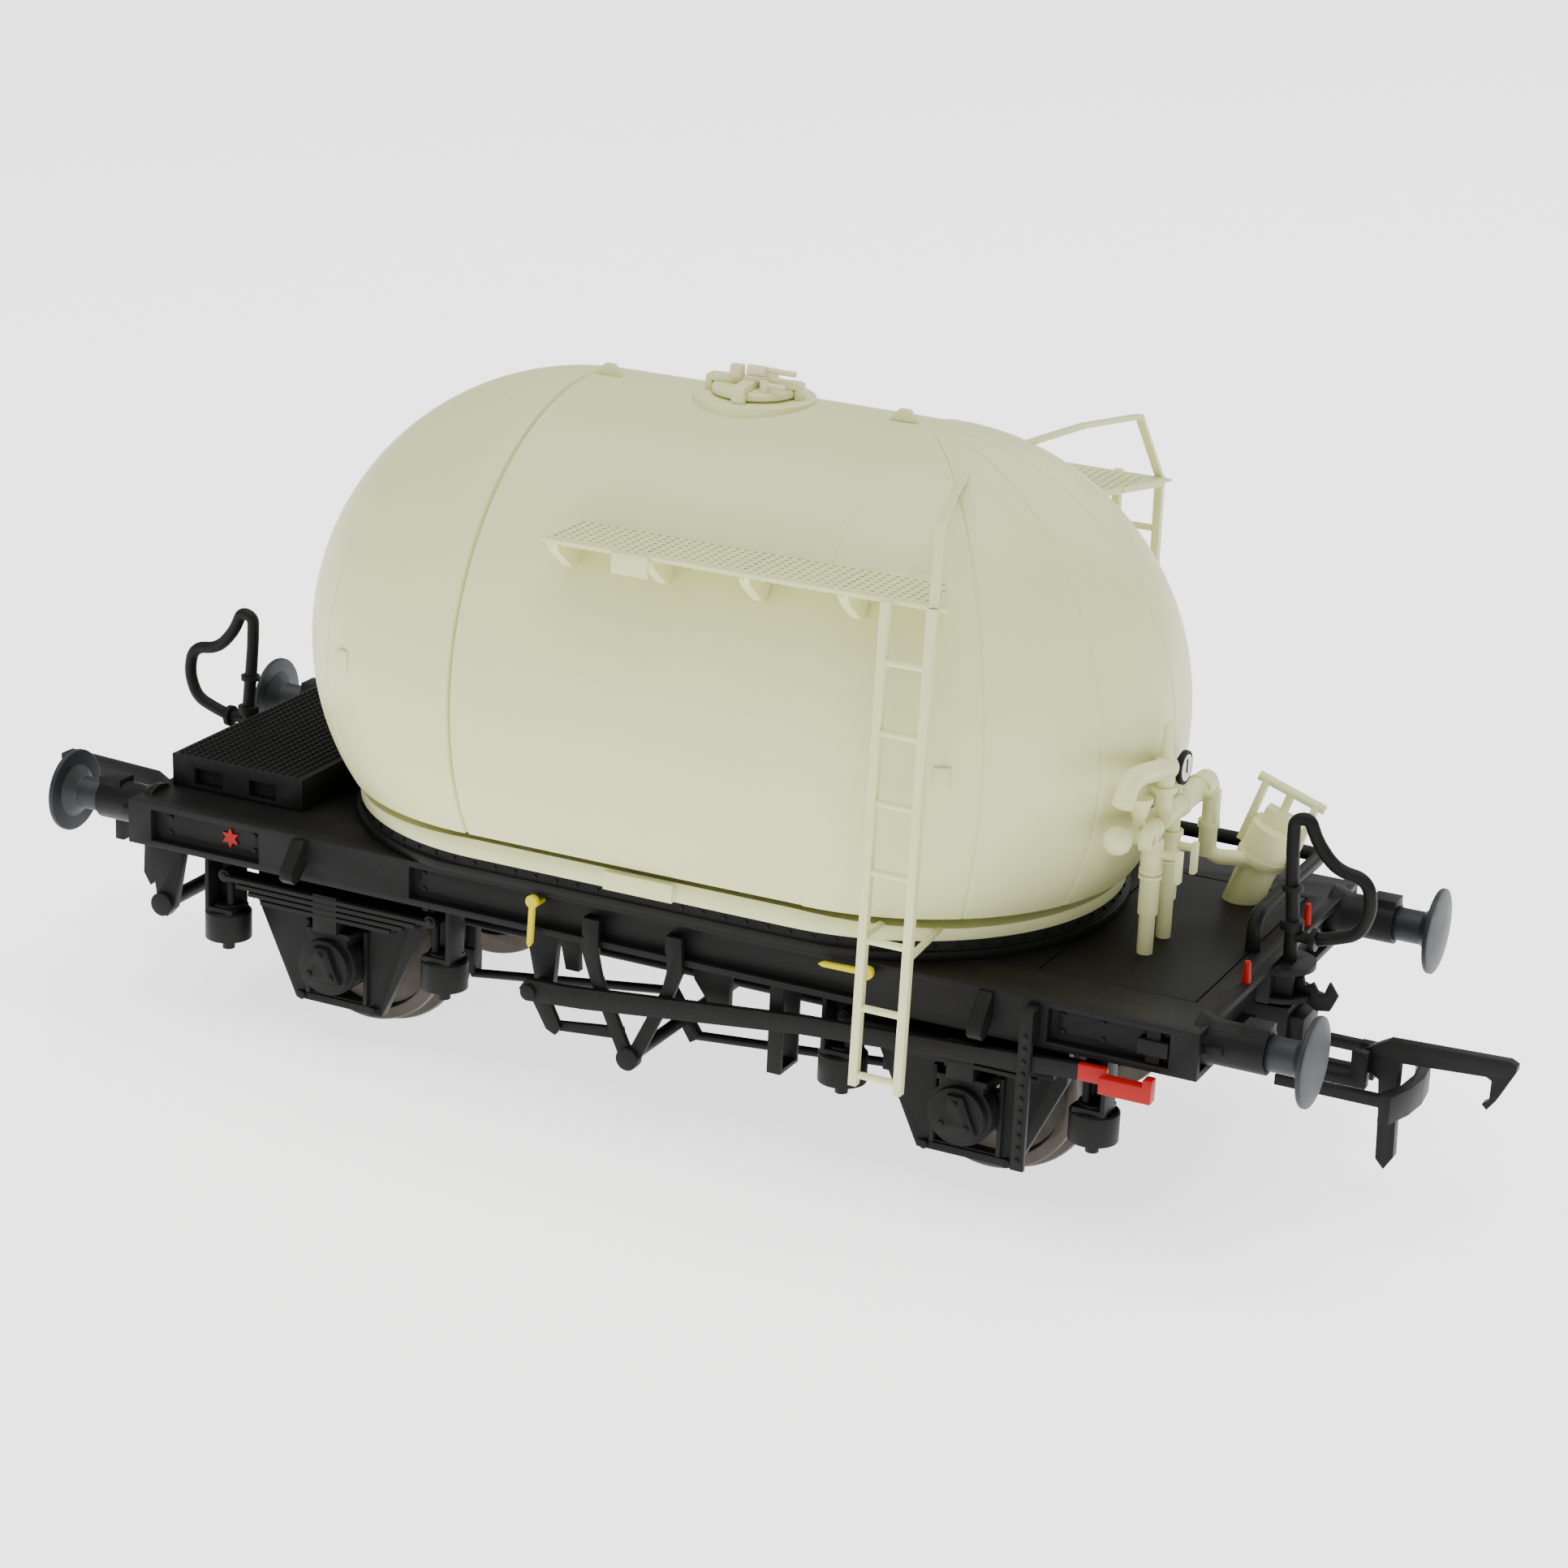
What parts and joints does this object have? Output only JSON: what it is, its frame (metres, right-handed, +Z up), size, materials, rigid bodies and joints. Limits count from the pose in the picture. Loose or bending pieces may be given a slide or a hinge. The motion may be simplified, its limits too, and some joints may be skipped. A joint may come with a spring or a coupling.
{
  "type": "model tank wagon",
  "caption": "Four-wheel 00-gauge model bulk powder tank wagon: round-ended tank on a black frame, side walkways, ladders, valves, sprung buffers, hook and loop couplings.",
  "frame": {"origin": "on the track centre line midway along the wagon, at the height of the wheel flanges", "axes": "+X along the wagon towards the discharge pipework end, +Y across it, +Z up"},
  "size_m": [0.1128, 0.0416, 0.0499],
  "materials": {
    "cream_body": "matt cream",
    "black_frame": "satin black",
    "wheel_metal": "blackened nickel plate",
    "axle_steel": "turned",
    "buffer_steel": "turned, blued",
    "red_paint": "red paint",
    "yellow_paint": "yellow paint",
    "pale_trim": "matt",
    "ballast": "as cast",
    "screw_steel": "plated",
    "brass": "turned"
  },
  "bodies": {
    "wagon": {"axle_bearings": "brass", "axleboxes": "black_frame", "axleguards": "black_frame", "ballast_weight": "ballast", "bolting_ring": "black_frame", "brake_hoses": "black_frame", "brake_levers": "black_frame", "brake_rigging": "black_frame", "brake_shoes": "black_frame", "buffer_housings": "black_frame", "buffer_springs": "screw_steel", "discharge_pipe": "cream_body", "drawhooks": "black_frame", "end_box": "black_frame", "fixing_screws": "screw_steel", "handrails": "cream_body", "hatch_clamps": "cream_body", "hatch_lid": "cream_body", "hatch_valve": "pale_trim", "header_pipe": "cream_body", "ladder_far": "cream_body", "ladder_near": "cream_body", "lamp_irons": "red_paint", "leaf_springs": "black_frame", "lever_grips": "red_paint", "lifting_lugs": "cream_body", "loading_pipe_front": "cream_body", "number_plates": "cream_body", "pipework_panel": "black_frame", "pressure_gauge": "black_frame", "rail_pipe": "black_frame", "release_handles": "yellow_paint", "ring_bolts": "black_frame", "spring_hangers": "black_frame", "standpipes": "black_frame", "tank_body": "cream_body", "tank_end_cap": "cream_body", "tank_tray": "cream_body", "underframe": "black_frame", "valve_levers": "cream_body", "walkway_far": "cream_body", "walkway_near": "cream_body"},
    "wheelset_left": {"axle_left": "axle_steel", "wheel_left_near": "wheel_metal", "wheel_left_far": "wheel_metal", "wheel_bushes_left": "black_frame"},
    "wheelset_right": {"axle_right": "axle_steel", "wheel_right_near": "wheel_metal", "wheel_right_far": "wheel_metal", "wheel_bushes_right": "black_frame"},
    "buffer_left_near": {"buffer_left_near": "buffer_steel"},
    "buffer_left_far": {"buffer_left_far": "buffer_steel"},
    "coupling_left": {"coupling_arm_left": "black_frame", "coupling_loop_left": "black_frame"},
    "hook_left": {"coupling_hook_left": "black_frame"},
    "buffer_right_near": {"buffer_right_near": "buffer_steel"},
    "buffer_right_far": {"buffer_right_far": "buffer_steel"},
    "coupling_right": {"coupling_arm_right": "black_frame", "coupling_loop_right": "black_frame"},
    "hook_right": {"coupling_hook_right": "black_frame"}
  },
  "joints": [
    {"name": "wheelset_left_turn", "type": "hinge", "parent": "wagon", "child": "wheelset_left", "pos_m": [-0.024, 0, 0.0066], "axis": [0, 1, 0], "continuous": true},
    {"name": "wheelset_right_turn", "type": "hinge", "parent": "wagon", "child": "wheelset_right", "pos_m": [0.024, 0, 0.0066], "axis": [0, 1, 0], "continuous": true},
    {"name": "buffer_left_near_slide", "type": "slide", "parent": "wagon", "child": "buffer_left_near", "axis": [1, 0, 0], "range_m": [0, 0.0009], "stiffness_N_per_m": 80, "springref_m": -0.0006},
    {"name": "buffer_left_far_slide", "type": "slide", "parent": "wagon", "child": "buffer_left_far", "axis": [1, 0, 0], "range_m": [0, 0.0009], "stiffness_N_per_m": 80, "springref_m": -0.0006},
    {"name": "coupling_left_swing", "type": "hinge", "parent": "wagon", "child": "coupling_left", "pos_m": [-0.033, 0, 0.0121], "axis": [0, 0, 1], "range_deg": [-8, 8]},
    {"name": "hook_left_lift", "type": "hinge", "parent": "coupling_left", "child": "hook_left", "pos_m": [-0.0464, 0, 0.0107], "axis": [0, 1, 0], "range_deg": [0, 7]},
    {"name": "buffer_right_near_slide", "type": "slide", "parent": "wagon", "child": "buffer_right_near", "axis": [-1, 0, 0], "range_m": [0, 0.0009], "stiffness_N_per_m": 80, "springref_m": -0.0006},
    {"name": "buffer_right_far_slide", "type": "slide", "parent": "wagon", "child": "buffer_right_far", "axis": [-1, 0, 0], "range_m": [0, 0.0009], "stiffness_N_per_m": 80, "springref_m": -0.0006},
    {"name": "coupling_right_swing", "type": "hinge", "parent": "wagon", "child": "coupling_right", "pos_m": [0.033, 0, 0.0121], "axis": [0, 0, 1], "range_deg": [-8, 8]},
    {"name": "hook_right_lift", "type": "hinge", "parent": "coupling_right", "child": "hook_right", "pos_m": [0.0464, 0, 0.0107], "axis": [0, -1, 0], "range_deg": [0, 7]}
  ]
}
